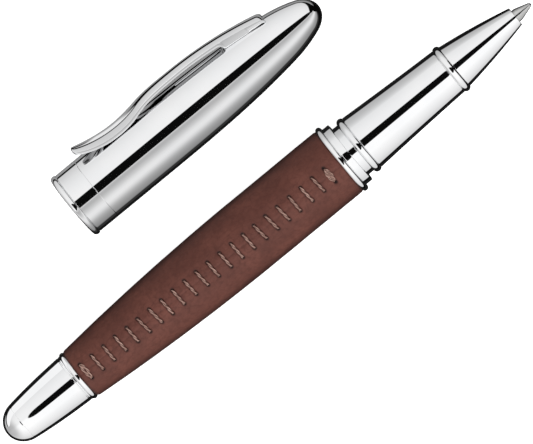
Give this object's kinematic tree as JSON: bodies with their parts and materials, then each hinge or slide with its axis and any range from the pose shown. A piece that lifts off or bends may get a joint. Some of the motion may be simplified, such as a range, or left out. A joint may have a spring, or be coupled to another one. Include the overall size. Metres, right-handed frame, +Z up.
{
  "type": "rollerball pen",
  "caption": "Rollerball pen with a leather-wrapped barrel, chrome trim and grip section, a refill that comes out, and a pull-off cap with a sprung clip lying beside it.",
  "frame": {"origin": "centre of the pen-and-cap outline, on the surface that they lie on", "axes": "+X along the pen from its tail to its writing tip, +Y from the pen to the cap beside it, +Z up"},
  "size_m": [0.123, 0.0401, 0.0144],
  "materials": {
    "chrome_plate": "mirror polished chrome plating",
    "brown_leather": "smooth satin dark red-brown leather",
    "seam_thread": "waxed tan thread",
    "bare_brass": "bare turned brass",
    "refill_steel": "drawn steel tube",
    "point_metal": "nickel silver",
    "spring_steel": "spring steel",
    "black_plastic": "black moulded plastic",
    "grey_plastic": "grey moulded plastic",
    "ink": "black ink",
    "ball_carbide": "ground carbide"
  },
  "bodies": {
    "barrel": {"tail_finial": "chrome_plate", "tail_cone": "chrome_plate", "tail_band": "chrome_plate", "spring_seat": "bare_brass", "barrel_tube": "bare_brass", "leather_sleeve": "brown_leather", "seam_stitching": "seam_thread", "front_trim_ring": "chrome_plate", "barrel_thread_bush": "bare_brass"},
    "spring": {"refill_spring": "spring_steel"},
    "refill": {"refill_tube": "refill_steel", "refill_end_plug": "grey_plastic", "refill_ink": "ink", "refill_nozzle": "black_plastic", "refill_feed_rod": "grey_plastic", "refill_point": "point_metal", "refill_ball": "ball_carbide"},
    "section": {"section_thread_tube": "bare_brass", "section_collar": "chrome_plate", "cap_stop_ring": "chrome_plate", "grip_sleeve": "chrome_plate", "grip_front_ring": "chrome_plate", "nose_cone": "chrome_plate"},
    "cap": {"cap_shell": "chrome_plate", "cap_mouth_ring": "chrome_plate", "inner_cap": "black_plastic", "clip_retainer": "bare_brass", "clip_screw": "spring_steel"},
    "clip": {"clip": "chrome_plate"}
  },
  "joints": [
    {"name": "cap_slide", "type": "slide", "parent": "barrel", "child": "cap", "axis": [0.9849, -0.1733, 0.0042], "range_m": [0, 0.13966]},
    {"name": "clip_flex", "type": "hinge", "parent": "cap", "child": "clip", "pos_m": [0.02145, 0.01588, 0.00888], "axis": [0, 0.4384, -0.8988], "range_deg": [0, 2.5], "stiffness_Nm_per_rad": 1},
    {"name": "section_turn", "type": "hinge", "parent": "barrel", "child": "spring", "pos_m": [0.0177, -0.0129, 0.00722], "axis": [1, 0, 0], "range_deg": [0, 2160]},
    {"name": "refill_pull", "type": "slide", "parent": "spring", "child": "refill", "axis": [1, 0, 0], "range_m": [0, 0.086]},
    {"name": "section_advance", "type": "slide", "parent": "refill", "child": "section", "axis": [1, 0, 0], "range_m": [0, 0.006]}
  ],
  "couplings": [
    {"joint": "section_advance", "follows": "section_turn", "m_per_rad": 0.00015915}
  ]
}
